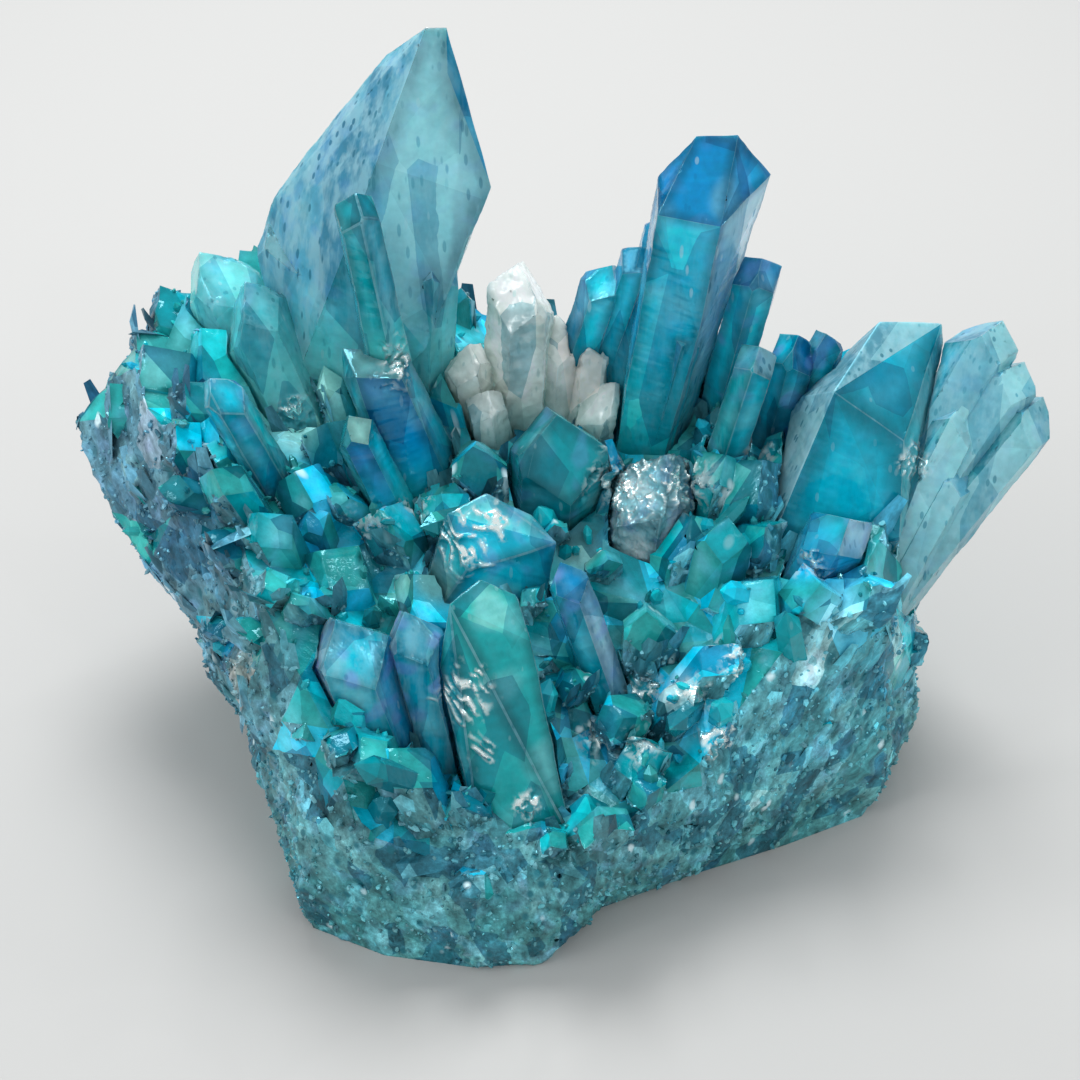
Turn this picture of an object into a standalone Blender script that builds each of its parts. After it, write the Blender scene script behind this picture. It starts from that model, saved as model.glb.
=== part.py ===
# A hand-size cluster of blue-coated quartz crystals on its broken bed of rock.
# The rock rests on a flat broken underside at z = 0, and the front of the cluster faces -Y.
# Sizes and places below are in millimetres. The meshes are built in metres.

import math
import random

import bmesh
import bpy
from mathutils import Matrix, Vector, noise

MM = 0.001
CLUSTER_SHIFT = (0.921, -1.293, 0.0)  # moves the cluster so that its box is centred over the origin

# Crystals
POINT_RISE = 38.2  # degrees between a point's faces and the long axis of quartz
ROOT_TAPER = (1.06, 0.96)  # radius at the root and below the point, as a share of the stated one
TIP_LEAN = 0.2  # how far a tip may lie off the axis, as a share of the radius
SMALL_FACE_STEP = (0.15, 0.45)  # how much further out a point's three smaller faces lie
POCKET_GAP = 0.42  # room between a crystal and the pocket that it stands in
SHARPEST_CORNER = 2.2  # the most that a pocket's corner may move, in gaps
WELD = 0.005  # corners closer than this are one

# Rock
BED_CENTRE = (2.0, -2.0)  # the low middle of the bed
BED_RINGS = (0.7, 0.36)  # where the bed's two rings lie between its middle and its rim
FRONT_EDGE = -31.0
FRONT_HEIGHT = 10.0
FRONT_CLIMB = 0.72
BACK_START = -14.0
BACK_HEIGHT = 22.5
BACK_CLIMB = 0.44
HOLLOW_PLACE = (8.0, -17.0)  # a hollow in the right front of the bed
HOLLOW_DEPTH = 5.0
HOLLOW_WIDTH = 7.75
RIM_PULL = 0.6  # how much of the rim's height a bed ring takes, by its place
LUMPS = 1.9  # height of the lumps
LUMP_WAVES = (0.13, 0.33)  # how many broad and fine lumps there are in a millimetre
LUMP_START = (3.1, 7.7, 1.9)  # where in the noise the broad lumps are taken
FINE_SHARE = 0.6  # height of the fine lumps, as a share of the broad ones
FOOT_EDGE = 0.5  # below this the foot stays flat
LOWEST_LUMP = 0.8  # no lump comes closer to the floor than this

# Small crystals that grow out of the bed, and stubs on the outer walls
BED_CRYSTALS = 96
BED_SEED = 22
BED_SLOPE = 0.35  # the least upward part of the bed's normal
BED_LEAST = (-37.0, 10.0)  # the bed's left end and its lowest height
BED_WIDTHS = (2.8, 6.4)
BED_REACH = (0.5, 1.3)  # height above the bed, as a share of the width
WALL_CRYSTALS = 26
WALL_SLOPE = 0.6
WALL_LEAST = 6.0
WALL_WIDTHS = (2.2, 4.6)
WALL_REACH = (0.1, 0.3)
BED_PUSH = 0.4  # share of the bed's own direction in a crystal's, then of a random one
BED_WILD = 0.45
WALL_WILD = 0.6
WILD_RISE = (-0.4, 0.8)
THICKNESSES = (0.7, 1.0)  # as a share of the width
FAN_OUT = 0.035  # how much the bed's crystals lean outwards for each millimetre from the middle
FAN_BACK = 12.0  # the fan's middle lies this far behind the origin
ROOT_DEPTH = 1.1  # depth of a small crystal's root, as a share of its width
LOWEST_TIP = 3.0
LOWEST_ROOT = 1.5

# The rock's outline at four heights, going round from the front left corner.
# Each row is foot (x, y), lower wall (x, y, z), belly (x, y, z) and rim (x, y, z).
ROCK_STATIONS = [
    ((-25.5, -28), (-26, -28, 6), (-24.5, -29, 12), (-20, -28.5, 16)),
    ((-18, -31.5), (-18, -32, 6), (-17, -31.5, 10), (-13, -30, 13.5)),
    ((-9, -33), (-9, -33.5, 5), (-9, -33, 10), (-7, -31.5, 13)),
    ((-2, -32.5), (-2, -33, 5), (-1, -32.5, 9), (0, -31, 13)),
    ((4, -25.5), (4.5, -27, 5), (5, -28, 10), (6, -27.5, 15.5)),
    ((14, -21), (14, -22, 6), (14, -22.8, 13), (13.5, -22.5, 19)),
    ((24, -17), (24.5, -17, 7), (24, -16, 17), (22, -14, 26)),
    ((32.5, -13), (34.5, -12.5, 5), (33.5, -10, 20), (30, -8, 31)),
    ((36, -5.5), (38, -6, 8), (38, -3.5, 18), (34, 0, 33)),
    ((35, 6), (38, 5, 10), (38.5, 5, 20), (35, 7, 34)),
    ((31, 15), (34, 16, 10), (35, 17, 22), (31, 16, 34)),
    ((22, 23), (24, 25, 10), (24, 26, 22), (21, 23, 35)),
    ((10, 27), (11, 29, 10), (11, 30, 24), (10, 26, 36)),
    ((-3, 28), (-3, 31, 10), (-4, 32, 25), (-4, 28, 35.5)),
    ((-15, 27), (-16, 30, 12), (-17, 33, 29), (-17, 29, 40)),
    ((-25, 21), (-28, 25, 14), (-32, 30, 32), (-28, 28, 43)),
    ((-31, 12), (-37, 17, 14), (-45.5, 22, 33), (-41, 21, 42.5)),
    ((-32, 4), (-37.5, 8, 13), (-50.5, 13, 33.5), (-45, 16, 42)),
    ((-31.5, -3), (-37, 0.5, 12.5), (-47.5, 5.5, 27.5), (-42.5, 7, 40.5)),
    ((-30.5, -10), (-33.5, -8, 9.5), (-38, -4, 21.5), (-32.5, -5, 35.5)),
    ((-29, -18), (-30, -19, 9.5), (-31, -18, 22), (-28, -16.5, 32)),
    ((-27, -24), (-27.5, -25, 9), (-27, -25.5, 18), (-22.5, -24.5, 26)),
]

# Six-sided crystals by the piece that they belong to. Each row is tip, root, width across,
# turn about the long axis in degrees, and thickness as a share of the width.
POINTED = {
    "blade_crystal": [
        ((-28, 21, 58), (-24, 18, 36), 11, 10, 0.8),
        ((-33, 15, 50.5), (-28, 14, 34), 10, 25, 0.8),
        ((-13, 15.5, 55), (-14.5, 16, 36), 7.5, 0, 0.8),
        ((-37, 21, 50), (-32, 19, 36), 9, 40, 0.9),
    ],
    "front_prism": [((-20, 8, 65.5), (-16.5, 9.5, 36), 5, 20, 0.9)],
    "tall_crystal": [
        ((12.5, 8.5, 51), (9, 12, 27), 4.5, 10, 1.0),
        ((8.5, 13.5, 56), (3, 17.5, 32), 5, 15, 0.9),
        ((10.5, 13, 59), (6, 16, 30), 5.5, 0, 0.9),
        ((5, 15, 52.5), (0.5, 17, 33), 5.5, 20, 0.9),
    ],
    "small_tower_back": [((19.5, 9.5, 57), (16.5, 14.5, 31), 5, 15, 1.0)],
    "small_tower_front": [((19.5, 4.5, 50), (16.5, 7.5, 30), 4.5, 0, 1.0)],
    "twin_towers": [
        ((24, 9.5, 47.5), (22.5, 12, 31), 5.5, 10, 0.9),
        ((27, 10, 47.5), (25.5, 13, 31), 4, 0, 1.0),
    ],
    "fan_crystals": [
        ((44, 10, 49.5), (30.5, 2, 22), 7.5, 10, 0.8),
        ((49, 5.5, 42.5), (30.5, -3, 16), 6, 25, 0.9),
        ((46.5, 7.5, 46), (31, 0, 19), 6.5, 5, 0.9),
        ((41, 6, 42), (30, -3, 16), 6.5, 15, 0.8),
        ((41, 2.5, 36), (31, -5, 14), 4.5, 0, 0.9),
    ],
    "milky_crystals": [
        ((-4, 15, 52.5), (-5, 15, 30), 9, 12, 0.8),
        ((0, 15.5, 45.5), (-1, 15, 30), 6, 0, 0.9),
        ((3.5, 15, 44.5), (2, 13.5, 29), 5, 20, 0.9),
        ((5, 11.5, 40), (3, 13, 27), 6.5, 5, 0.9),
        ((-10, 12.5, 44), (-8.5, 13.5, 30), 5, 25, 1.0),
        ((-8, 9.5, 40.5), (-6.5, 11, 27), 4.5, 0, 1.0),
    ],
    "dark_centre_crystal": [
        ((0, 3.5, 41.5), (-1, 7, 20), 10.5, 0, 0.9),
    ],
    "silver_crystal": [((10, 2, 38), (8.5, 3, 20), 10, 10, 0.9)],
    "capped_crystal": [((-21.5, 2.5, 43), (-15.5, 1.5, 26), 5, 15, 0.9)],
    "iridescent_prism": [((0, -8.5, 33), (7, -14.5, 12), 5, 30, 0.9)],
    "lavender_crystals": [
        ((-21.5, -17.5, 34), (-16.5, -17.5, 12), 9.5, 0, 0.9),
        ((-15, -16, 33.5), (-11, -18, 12), 7, 20, 0.9),
    ],
    "left_rim_crystal": [((-34, 0.5, 49), (-27.5, 3, 28), 5, 0, 0.9)],
    "glowing_crystal": [((28.5, -6, 37.5), (24, -1, 18), 8.5, 10, 0.8)],
}

# Crystals with a broken, slanted or flattened shape, each by its corner points.
CORNERED = {
    "blade_crystal": [
        (-13, 17, 78), (-11, 17, 78), (-10.5, 17, 75.5), (-7, 14.5, 62), (-8, 14, 61),
        (-17, 20, 73.5), (-27, 20, 60.5), (-29.5, 19, 57), (-31, 18.5, 52), (-11, 15.5, 74),
        (-18, 12.5, 66), (-21.5, 11.5, 56.5), (-27.5, 13, 40), (-20, 11.5, 38), (-14, 12, 44),
        (-28, 20, 38), (-14, 22, 38), (-12, 20, 50), (-11, 22, 62),
    ],
    "tall_crystal": [
        (12.5, 10, 70.5), (16.5, 11, 70), (20, 12, 65), (15, 6, 63), (9, 6.5, 64),
        (9, 10, 66), (15, 15, 66), (11, 14, 65), (18, 16, 63.5), (13.5, 6.5, 50), (8, 8, 50),
        (10.5, 9, 30), (5.5, 9.5, 30), (13, 13, 30), (12, 18, 30), (6, 16, 30),
    ],
    "slab_crystal": [
        (26, 5, 43), (32, 10, 49), (38.5, 11, 48), (39, 11, 45.5), (27, 3, 45.5),
        (34.5, 2, 40), (34.5, -2.5, 30.5), (20.5, -2.5, 27), (24, 9, 40), (33, 13, 44),
        (22, 0, 18), (31, 0, 18), (24, 9, 18), (32, 11, 22),
    ],
    "capped_crystal": [
        (-22, 7.5, 47.5), (-15.5, 7.5, 47), (-16, 4.5, 46), (-20.5, 4, 46.5), (-22, 6, 45),
        (-15, 6, 44), (-9.5, 4, 26), (-15.5, 1.5, 26), (-8.5, 8.5, 26), (-15, 9, 26),
    ],
    "striped_crystal": [
        (-11.5, -5, 36.5), (-7.5, -2.5, 37), (-3, -3, 34.5), (-4.5, -7, 32.5), (-9.5, -8.5, 32),
        (-0.5, -5.5, 33), (-2, -7, 22), (-16.5, -9.5, 20), (-16, -4, 20), (-4, -1.5, 20),
    ],
    "green_crystal": [
        (-11, -16, 34.5), (-4.5, -13, 33), (-8, -13, 35), (-3, -15.5, 29), (1, -26.5, 12),
        (-8, -27.5, 11), (-12, -18, 28), (-4, -22, 8), (-10, -18, 8), (-3, -14, 12), (-9.5, -12, 14),
    ],
}

# Larger crystals of the bed that have grown into the rock itself, in the same order of values.
IN_THE_BED = [
    ((30, 14.5, 42.5), (28.5, 15, 28), 5, 20, 0.9),
    ((-42.5, 12.5, 44.5), (-38, 13, 30), 8, 0, 0.9),
    ((-44.5, 16, 43), (-39, 16, 30), 6.5, 20, 0.9),
    ((-38.5, 8, 43.5), (-35, 9, 28), 7.5, 10, 0.9),
    ((-39.5, 3.5, 41.5), (-36, 5, 28), 6.5, 0, 0.9),
    ((-35.5, 4, 42), (-32, 5, 28), 6, 30, 0.9),
    ((-47.5, 12, 39.5), (-42, 12, 28), 7, 10, 0.9),
    ((-42.5, 21.5, 45), (-38, 19, 30), 7, 40, 0.9),
    ((-33.5, 26, 47), (-29, 23, 30), 8.5, 0, 0.9),
    ((-24, 30.5, 44), (-22, 25, 26), 8, 20, 0.9),
    ((-4, 31, 37), (-3, 24, 22), 8.5, 0, 0.9),
    ((15, 28.5, 33), (12, 22, 20), 8, 30, 0.9),
    ((33, 18, 35), (28, 14, 20), 8, 0, 0.9),
    ((-35, 27, 30), (-27, 20, 20), 9, 10, 0.9),
    ((4, 33, 22), (3, 24, 14), 9, 0, 0.9),
    ((-20, 32, 24), (-16, 22, 16), 10, 20, 0.9),
    ((27, 24, 20), (20, 17, 14), 9, 0, 0.9),
    ((40, 9, 22), (31, 7, 18), 8, 30, 0.9),
    ((-16.5, -25, 24.5), (-12.5, -24, 8), 7.5, 10, 0.9),
    ((-34.5, -3.5, 41.5), (-28, -1, 24), 6.5, 20, 0.8),
    ((-29.5, -7.5, 39), (-25, -6, 20), 6, 0, 0.9),
    ((16.5, -4, 35.5), (14.5, -5, 18), 7, 0, 0.9),
    ((39, -3.5, 18), (32, -2, 13), 5.5, 15, 0.9),
    ((17, -14, 28), (10, -14, 15), 6.5, 0, 0.9),
    ((13, -18, 24.5), (9, -14, 12), 5.5, 20, 0.9),
    ((8.5, -23.5, 22), (6, -19, 10), 5.5, 10, 0.9),
    ((21, -10, 32), (16, -8, 18), 7, 15, 0.9),
    ((9, -11.5, 29), (9, -9, 16), 6.5, 0, 0.9),
    ((12.5, -2.5, 34), (12, -1, 20), 7, 20, 1.0),
    ((20.5, 1, 38), (18, 3, 24), 7.5, 10, 0.9),
    ((16.5, 2.5, 38), (15, 4, 24), 6, 0, 1.0),
    ((-8.5, 3, 38.5), (-8, 5, 24), 6.5, 15, 0.9),
    ((-12, -1.5, 36), (-10, 0, 20), 6.5, 0, 0.9),
    ((-18, -3, 35.5), (-15, -1, 20), 7, 20, 0.9),
    ((-23.5, -8.5, 35), (-20, -6, 18), 7.5, 0, 0.9),
    ((-27, -1, 38.5), (-23, 2, 24), 7, 15, 0.9),
    ((-24, 5, 40), (-21, 7, 26), 7.5, 10, 0.9),
    ((-14.5, -9, 31.5), (-12, -8, 16), 7.5, 0, 0.9),
    ((-37, 14, 45), (-32, 14, 30), 9, 20, 0.9),
    ((-40, 19, 45), (-35, 18, 30), 9, 0, 1.0),
    ((-4, -21, 24), (-2, -18, 8), 7, 10, 0.9),
    ((3, -27.5, 17), (2, -22, 6), 6.5, 0, 0.9),
    ((-21, -27.5, 19), (-17, -25, 6), 6.5, 20, 0.9),
    ((24, 5, 38), (22, 7, 26), 7, 0, 0.9),
    ((-1, 21, 41), (-2, 19, 26), 7.5, 15, 0.9),
    ((9, 22, 44), (7, 19, 26), 7.5, 0, 0.9),
    ((19, 20, 41), (15, 17, 24), 7, 10, 0.9),
    ((-10, 26, 36), (-9, 21, 22), 7.5, 20, 0.9),
    ((-20, 27, 50), (-18, 22, 30), 8, 0, 0.9),
]

# Colour and roughness of each piece.
LOOKS = {
    "matrix": ((0.10, 0.42, 0.47), 0.6),
    "blade_crystal": ((0.16, 0.52, 0.66), 0.15),
    "front_prism": ((0.03, 0.34, 0.45), 0.15),
    "tall_crystal": ((0.03, 0.48, 0.68), 0.1),
    "small_tower_back": ((0.02, 0.36, 0.62), 0.12),
    "small_tower_front": ((0.10, 0.48, 0.62), 0.2),
    "twin_towers": ((0.05, 0.42, 0.56), 0.2),
    "slab_crystal": ((0.06, 0.44, 0.56), 0.3),
    "fan_crystals": ((0.22, 0.56, 0.66), 0.2),
    "milky_crystals": ((0.66, 0.74, 0.72), 0.2),
    "dark_centre_crystal": ((0.02, 0.30, 0.40), 0.12),
    "silver_crystal": ((0.42, 0.52, 0.54), 0.3),
    "capped_crystal": ((0.03, 0.36, 0.50), 0.12),
    "striped_crystal": ((0.08, 0.42, 0.56), 0.15),
    "iridescent_prism": ((0.03, 0.32, 0.62), 0.1),
    "green_crystal": ((0.03, 0.38, 0.42), 0.12),
    "lavender_crystals": ((0.16, 0.44, 0.66), 0.2),
    "left_rim_crystal": ((0.05, 0.36, 0.46), 0.2),
    "glowing_crystal": ((0.03, 0.36, 0.68), 0.12),
}


def new_object(name, bm, collection):
    """Turns a finished bmesh into a named object."""
    bmesh.ops.recalc_face_normals(bm, faces=bm.faces)
    mesh = bpy.data.meshes.new(name)
    bm.to_mesh(mesh)
    bm.free()
    ob = bpy.data.objects.new(name, mesh)
    collection.objects.link(ob)
    return ob


def slice_off(bm, point, normal):
    """Cuts away what lies beyond a plane and closes the cut with one flat face."""
    cut = bmesh.ops.bisect_plane(
        bm,
        geom=bm.verts[:] + bm.edges[:] + bm.faces[:],
        dist=1e-7,
        plane_co=point,
        plane_no=normal,
        clear_outer=True,
    )
    rim = [e for e in cut["geom_cut"] if isinstance(e, bmesh.types.BMEdge)]
    if rim:
        bmesh.ops.edgeloop_fill(bm, edges=rim)


def quartz_point(tip, root, width, turn, share, seed):
    """A six-sided prism cut to a six-faced point, three of whose faces are the larger."""
    rng = random.Random(seed)
    tip = Vector(tip) * MM
    root = Vector(root) * MM
    radius = width * MM / 2
    along = tip - root
    length = along.length
    bm = bmesh.new()
    bmesh.ops.create_cone(
        bm,
        cap_ends=True,
        segments=6,
        radius1=radius * ROOT_TAPER[0],
        radius2=radius * ROOT_TAPER[1],
        depth=length + radius,
        matrix=Matrix.Translation((0, 0, (length + radius) / 2)),
    )
    lean = Vector((rng.uniform(-TIP_LEAN, TIP_LEAN), rng.uniform(-TIP_LEAN, TIP_LEAN), 0)) * radius
    apex = lean + Vector((0, 0, length))
    rise = math.radians(POINT_RISE)
    for i in range(6):
        around = math.radians(60 * i + 30)
        flat = Vector((math.cos(around), math.sin(around), 0)) * math.cos(rise)
        normal = flat + Vector((0, 0, math.sin(rise)))
        step = rng.uniform(*SMALL_FACE_STEP) if i % 2 else 0.0
        slice_off(bm, apex + normal * radius * step, normal)
    bmesh.ops.scale(bm, verts=bm.verts, vec=(1, share, 1))
    bmesh.ops.rotate(bm, verts=bm.verts, matrix=Matrix.Rotation(math.radians(turn), 3, "Z"))
    aim = along.to_track_quat("Z", "Y").to_matrix().to_4x4()
    bmesh.ops.transform(bm, verts=bm.verts, matrix=Matrix.Translation(root) @ aim)
    return bm


def cornered_stone(corners):
    """A flat-faced stone stretched over its corner points."""
    bm = bmesh.new()
    for corner in corners:
        bm.verts.new(Vector(corner) * MM)
    made = bmesh.ops.convex_hull(bm, input=bm.verts)
    loose = {g for g in made["geom_interior"] + made["geom_unused"] if isinstance(g, bmesh.types.BMVert)}
    bmesh.ops.delete(bm, geom=list(loose), context="VERTS")
    bmesh.ops.dissolve_limit(bm, angle_limit=math.radians(3), verts=bm.verts, edges=bm.edges)
    return bm


def grown(bm):
    """A copy whose faces all stand the pocket's gap further out."""
    wide = bm.copy()
    bmesh.ops.recalc_face_normals(wide, faces=wide.faces)
    wide.normal_update()
    moves = [v.normal * min(v.calc_shell_factor(), SHARPEST_CORNER) * POCKET_GAP * MM for v in wide.verts]
    for v, move in zip(wide.verts, moves):
        v.co += move
    return wide


def joined_and_cut(ob, add, take):
    """Applies a Boolean union with one collection and a difference with another."""
    for group, operation in ((add, "UNION"), (take, "DIFFERENCE")):
        if group is not None and len(group.objects):
            mod = ob.modifiers.new(operation.lower(), "BOOLEAN")
            mod.operation = operation
            mod.operand_type = "COLLECTION"
            mod.collection = group
            mod.solver = "EXACT"
    bpy.context.view_layer.update()
    seen = ob.evaluated_get(bpy.context.evaluated_depsgraph_get())
    made = bpy.data.meshes.new_from_object(seen)
    ob.modifiers.clear()
    old = ob.data
    ob.data = made
    bpy.data.meshes.remove(old)


def keep_largest(ob):
    """Welds the mesh, flattens it where it is flat and drops chips that a cut left loose."""
    bm = bmesh.new()
    bm.from_mesh(ob.data)
    bmesh.ops.remove_doubles(bm, verts=bm.verts, dist=WELD * MM)
    bmesh.ops.dissolve_degenerate(bm, edges=bm.edges, dist=WELD * MM)
    left = set(bm.faces)
    pieces = []
    while left:
        first = left.pop()
        piece = [first]
        queue = [first]
        while queue:
            face = queue.pop()
            for edge in face.edges:
                for other in edge.link_faces:
                    if other in left:
                        left.remove(other)
                        piece.append(other)
                        queue.append(other)
        pieces.append(piece)
    pieces.sort(key=lambda fs: sum(f.calc_area() for f in fs))
    chips = [f for piece in pieces[:-1] for f in piece]
    bmesh.ops.delete(bm, geom=chips, context="FACES")
    loose = [v for v in bm.verts if not v.link_faces]
    bmesh.ops.delete(bm, geom=loose, context="VERTS")
    bmesh.ops.triangulate(bm, faces=bm.faces)
    bmesh.ops.recalc_face_normals(bm, faces=bm.faces)
    bm.to_mesh(ob.data)
    bm.free()
    return len(pieces)


def bed_height(x, y):
    """Height of the bed, which climbs steeply from the front edge, then gently to the back."""
    steep = FRONT_HEIGHT + FRONT_CLIMB * (y - FRONT_EDGE)
    gentle = BACK_HEIGHT + BACK_CLIMB * (y - BACK_START)
    far = (x - HOLLOW_PLACE[0]) ** 2 + (y - HOLLOW_PLACE[1]) ** 2
    hollow = HOLLOW_DEPTH * math.exp(-far / HOLLOW_WIDTH**2)
    return min(steep, gentle) - hollow


def build_rock():
    """The rock as rings of points, bridged one to the next and closed at the foot and the bed."""
    bm = bmesh.new()
    rings = [[], [], [], [], [], []]
    for foot, low, belly, rim in ROCK_STATIONS:
        rings[0].append((foot[0], foot[1], 0.0))
        rings[1].append(low)
        rings[2].append(belly)
        rings[3].append(rim)
        for level, share in zip((4, 5), BED_RINGS):
            x = BED_CENTRE[0] + (rim[0] - BED_CENTRE[0]) * share
            y = BED_CENTRE[1] + (rim[1] - BED_CENTRE[1]) * share
            pull = share * RIM_PULL
            z = bed_height(x, y) * (1.0 - pull) + rim[2] * pull
            rings[level].append((x, y, z))
    loops = []
    for ring in rings:
        verts = [bm.verts.new(Vector(p) * MM) for p in ring]
        edges = [bm.edges.new((verts[i], verts[i - 1])) for i in range(len(verts))]
        loops.append(edges)
    for below, above in zip(loops, loops[1:]):
        bmesh.ops.bridge_loops(bm, edges=below + above)
    bmesh.ops.edgeloop_fill(bm, edges=loops[0])
    bmesh.ops.edgeloop_fill(bm, edges=loops[-1])
    bmesh.ops.triangulate(bm, faces=bm.faces)
    bmesh.ops.recalc_face_normals(bm, faces=bm.faces)
    high = [e for e in bm.edges if any(v.co.z > FOOT_EDGE * MM for v in e.verts)]
    bmesh.ops.subdivide_edges(bm, edges=high, cuts=1, use_grid_fill=True)
    bmesh.ops.triangulate(bm, faces=bm.faces)
    bm.normal_update()
    for v in bm.verts:
        if v.co.z > FOOT_EDGE * MM:
            at = v.co / MM
            broad = noise.noise(at * LUMP_WAVES[0] + Vector(LUMP_START))
            fine = noise.noise(at * LUMP_WAVES[1])
            v.co += v.normal * (broad + FINE_SHARE * fine) * LUMPS * MM
            v.co.z = max(v.co.z, LOWEST_LUMP * MM)
    return bm


def small_crystals(rock, rng):
    """Crystals that grow out of the bed and stubs on the walls, as a list of bmeshes."""
    bm = bmesh.new()
    bm.from_mesh(rock.data)
    bm.normal_update()
    bed = []
    wall = []
    for face in bm.faces:
        middle = face.calc_center_median() / MM
        if face.normal.z > BED_SLOPE and middle.x > BED_LEAST[0] and middle.z > BED_LEAST[1]:
            bed.append(face)
        elif abs(face.normal.z) <= WALL_SLOPE and middle.z > WALL_LEAST:
            wall.append(face)
    made = [quartz_point(*row, 100 + i) for i, row in enumerate(IN_THE_BED)]
    for group, count, on_bed in ((bed, BED_CRYSTALS, True), (wall, WALL_CRYSTALS, False)):
        areas = [f.calc_area() for f in group]
        for n in range(count):
            face = rng.choices(group, weights=areas)[0]
            spot = face.calc_center_median() / MM
            fan = Vector((spot.x * FAN_OUT, (spot.y - FAN_BACK) * FAN_OUT, 1.0)).normalized()
            wild = Vector((rng.uniform(-1, 1), rng.uniform(-1, 1), rng.uniform(*WILD_RISE)))
            if on_bed:
                out = (fan + face.normal * BED_PUSH + wild * BED_WILD).normalized()
                width = rng.uniform(*BED_WIDTHS)
                reach = width * rng.uniform(*BED_REACH)
            else:
                out = (face.normal + wild * WALL_WILD).normalized()
                width = rng.uniform(*WALL_WIDTHS)
                reach = width * rng.uniform(*WALL_REACH)
            root = spot - out * width * ROOT_DEPTH
            tip = spot + out * reach
            if tip.z < LOWEST_TIP or root.z < LOWEST_ROOT:
                continue
            turn = rng.uniform(0, 60)
            made.append(quartz_point(tip, root, width, turn, rng.uniform(*THICKNESSES), n))
    bm.free()
    return made


def material_for(name):
    """The colour and finish of one piece."""
    colour, roughness = LOOKS[name]
    mat = bpy.data.materials.new(name + "_colour")
    mat.use_nodes = True
    shader = mat.node_tree.nodes["Principled BSDF"]
    shader.inputs["Base Color"].default_value = (*colour, 1.0)
    shader.inputs["Roughness"].default_value = roughness
    shader.inputs["Metallic"].default_value = 0.0
    return mat


def main():
    for ob in list(bpy.data.objects):
        bpy.data.objects.remove(ob, do_unlink=True)
    cluster = bpy.data.collections.new("aura_quartz_cluster")
    pockets = bpy.data.collections.new("cutters")
    bpy.context.scene.collection.children.link(cluster)
    bpy.context.scene.collection.children.link(pockets)

    # Each crystal piece is cut back where an earlier one already stands, then leaves its own
    # grown shape behind as a pocket for the pieces after it and for the rock.
    names = [n for n in LOOKS if n != "matrix"]
    seed = 0
    for name in names:
        shapes = [cornered_stone(CORNERED[name])] if name in CORNERED else []
        for tip, root, width, turn, share in POINTED.get(name, []):
            seed += 1
            shapes.append(quartz_point(tip, root, width, turn, share, seed))
        wide = [grown(bm) for bm in shapes]
        ob = new_object(name, shapes[0], cluster)
        add = bpy.data.collections.new(name + "_more")
        for i, bm in enumerate(shapes[1:]):
            new_object(f"{name}_more_{i}", bm, add)
        joined_and_cut(ob, add, pockets)
        for extra in list(add.objects):
            bpy.data.objects.remove(extra, do_unlink=True)
        bpy.data.collections.remove(add)
        print(name, "in", keep_largest(ob))
        for i, bm in enumerate(wide):
            cutter = new_object(f"{name}_pocket_{i}", bm, pockets)
            cutter.hide_render = True
            cutter.display_type = "WIRE"

    rock = new_object("matrix", build_rock(), cluster)
    rng = random.Random(BED_SEED)
    bed = bpy.data.collections.new("bed_crystals")
    for i, bm in enumerate(small_crystals(rock, rng)):
        new_object(f"bed_crystal_{i}", bm, bed)
    joined_and_cut(rock, bed, pockets)
    for extra in list(bed.objects):
        bpy.data.objects.remove(extra, do_unlink=True)
    bpy.data.collections.remove(bed)
    print("matrix in", keep_largest(rock))

    for ob in list(pockets.objects):
        bpy.data.objects.remove(ob, do_unlink=True)
    bpy.data.collections.remove(pockets)
    for ob in cluster.objects:
        ob.data.transform(Matrix.Translation(Vector(CLUSTER_SHIFT) * MM))
        ob.data.materials.clear()
        ob.data.materials.append(material_for(ob.name))
        ob.data.update()
        print(ob.name, len(ob.data.polygons), "triangles", [round(d / MM, 1) for d in ob.dimensions])


main()
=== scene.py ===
# %% [markdown]
# # A blue-coated quartz cluster
#
# The real thing is a hand-size group of quartz points that grew out of a rough bed of rock. A very
# thin metal coating makes them blue: each face mirrors some light, lets some through and keeps the
# red. The solids of the frame give every crystal its place and size. This lesson adds what the eye
# reads as mineral: growth lines, pits, worn edges, thousands of tiny grains, and glassy colour.

# %% Load the frame
import math
import random

import bmesh
import bpy
import numpy as np
from mathutils import Matrix, Vector, noise
from mathutils.bvhtree import BVHTree
from mathutils.kdtree import KDTree


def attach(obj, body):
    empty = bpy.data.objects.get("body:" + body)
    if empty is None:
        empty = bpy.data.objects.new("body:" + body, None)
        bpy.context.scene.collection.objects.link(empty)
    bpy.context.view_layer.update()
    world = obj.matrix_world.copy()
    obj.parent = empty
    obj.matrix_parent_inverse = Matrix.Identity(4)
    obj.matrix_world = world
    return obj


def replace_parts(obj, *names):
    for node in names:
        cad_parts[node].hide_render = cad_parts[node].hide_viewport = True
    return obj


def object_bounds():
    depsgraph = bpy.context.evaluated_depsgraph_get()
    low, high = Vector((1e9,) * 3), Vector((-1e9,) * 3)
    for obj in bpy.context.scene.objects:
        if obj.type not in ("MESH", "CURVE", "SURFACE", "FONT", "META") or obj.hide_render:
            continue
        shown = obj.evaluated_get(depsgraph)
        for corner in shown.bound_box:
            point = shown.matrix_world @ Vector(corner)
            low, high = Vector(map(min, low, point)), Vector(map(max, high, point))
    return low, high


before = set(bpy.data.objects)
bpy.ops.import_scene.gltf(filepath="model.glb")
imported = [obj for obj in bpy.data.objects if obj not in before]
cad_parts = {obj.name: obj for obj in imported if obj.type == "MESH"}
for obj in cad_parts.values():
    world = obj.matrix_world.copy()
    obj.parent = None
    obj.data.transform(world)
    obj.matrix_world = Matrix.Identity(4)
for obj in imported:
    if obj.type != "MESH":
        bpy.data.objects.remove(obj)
cad_box = [list(corner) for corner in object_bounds()]
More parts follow.
